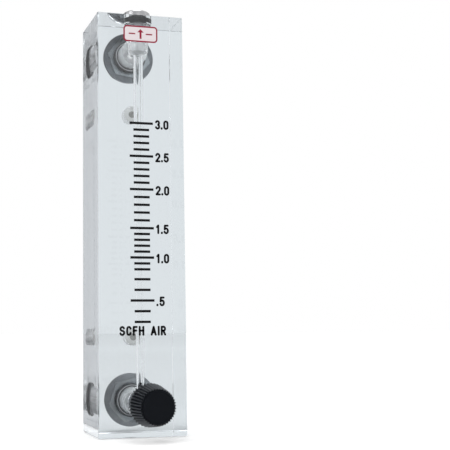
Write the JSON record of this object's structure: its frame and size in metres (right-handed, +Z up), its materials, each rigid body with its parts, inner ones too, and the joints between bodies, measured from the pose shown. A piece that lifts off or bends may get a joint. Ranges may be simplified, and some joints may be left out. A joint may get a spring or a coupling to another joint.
{
  "type": "rotameter",
  "caption": "Clear block variable-area flow meter with a tapered bore, ball float, printed scale, needle valve knob and threaded rear ports for panel mounting.",
  "frame": {"origin": "centre of the block's flat base", "axes": "+Z up along the block, the scale face looks towards -Y, the ports leave towards +Y, +X to the right as the scale is read"},
  "size_m": [0.035, 0.0647, 0.1674],
  "materials": {
    "clear_block": "clear polished acrylic",
    "print_black": "printed ink",
    "print_red": "printed ink",
    "print_pale": "printed ink",
    "float_black": "polished black ball",
    "clear_stop": "clear moulded",
    "plug_chrome": "polished plate",
    "ring_black": "soft black",
    "plated_metal": "plated, fine turned",
    "washer_grey": "dull plated sheet",
    "seat_white": "white fluoropolymer",
    "knob_black": "semi-gloss moulded",
    "insert_cream": "bright turned"
  },
  "bodies": {
    "meter_body": {"body_block": "clear_block", "scale_marks": "print_black", "badge_panel": "print_pale", "badge_frame": "print_red", "float_stop_lower": "clear_stop", "float_stop_upper": "clear_stop", "top_plug": "plug_chrome", "top_plug_oring": "ring_black", "inlet_adapter": "plated_metal", "outlet_adapter": "plated_metal", "inlet_seal": "ring_black", "outlet_seal": "ring_black", "inlet_washer": "washer_grey", "outlet_washer": "washer_grey", "inlet_locknut": "plated_metal", "outlet_locknut": "plated_metal", "valve_seat": "seat_white", "valve_bonnet": "plated_metal", "bonnet_oring": "ring_black", "mount_insert_lower": "insert_cream", "mount_insert_upper": "insert_cream"},
    "stem_seal": {"stem_oring": "ring_black"},
    "valve": {"knob": "knob_black", "valve_stem": "plated_metal"},
    "float": {"float_ball": "float_black"}
  },
  "joints": [
    {"name": "stem_travel", "type": "slide", "parent": "meter_body", "child": "stem_seal", "axis": [0, -1, 0], "range_m": [-0.00198, 0.0004]},
    {"name": "knob_turn", "type": "hinge", "parent": "stem_seal", "child": "valve", "pos_m": [0, -0.02289, 0.0127], "axis": [0, -1, 0], "range_deg": [-900, 180]},
    {"name": "float_rise", "type": "slide", "parent": "meter_body", "child": "float", "axis": [0, 0, 1], "range_m": [0, 0.1295]}
  ],
  "couplings": [
    {"joint": "knob_turn", "follows": "stem_travel", "rad_per_m": 7915.8}
  ]
}
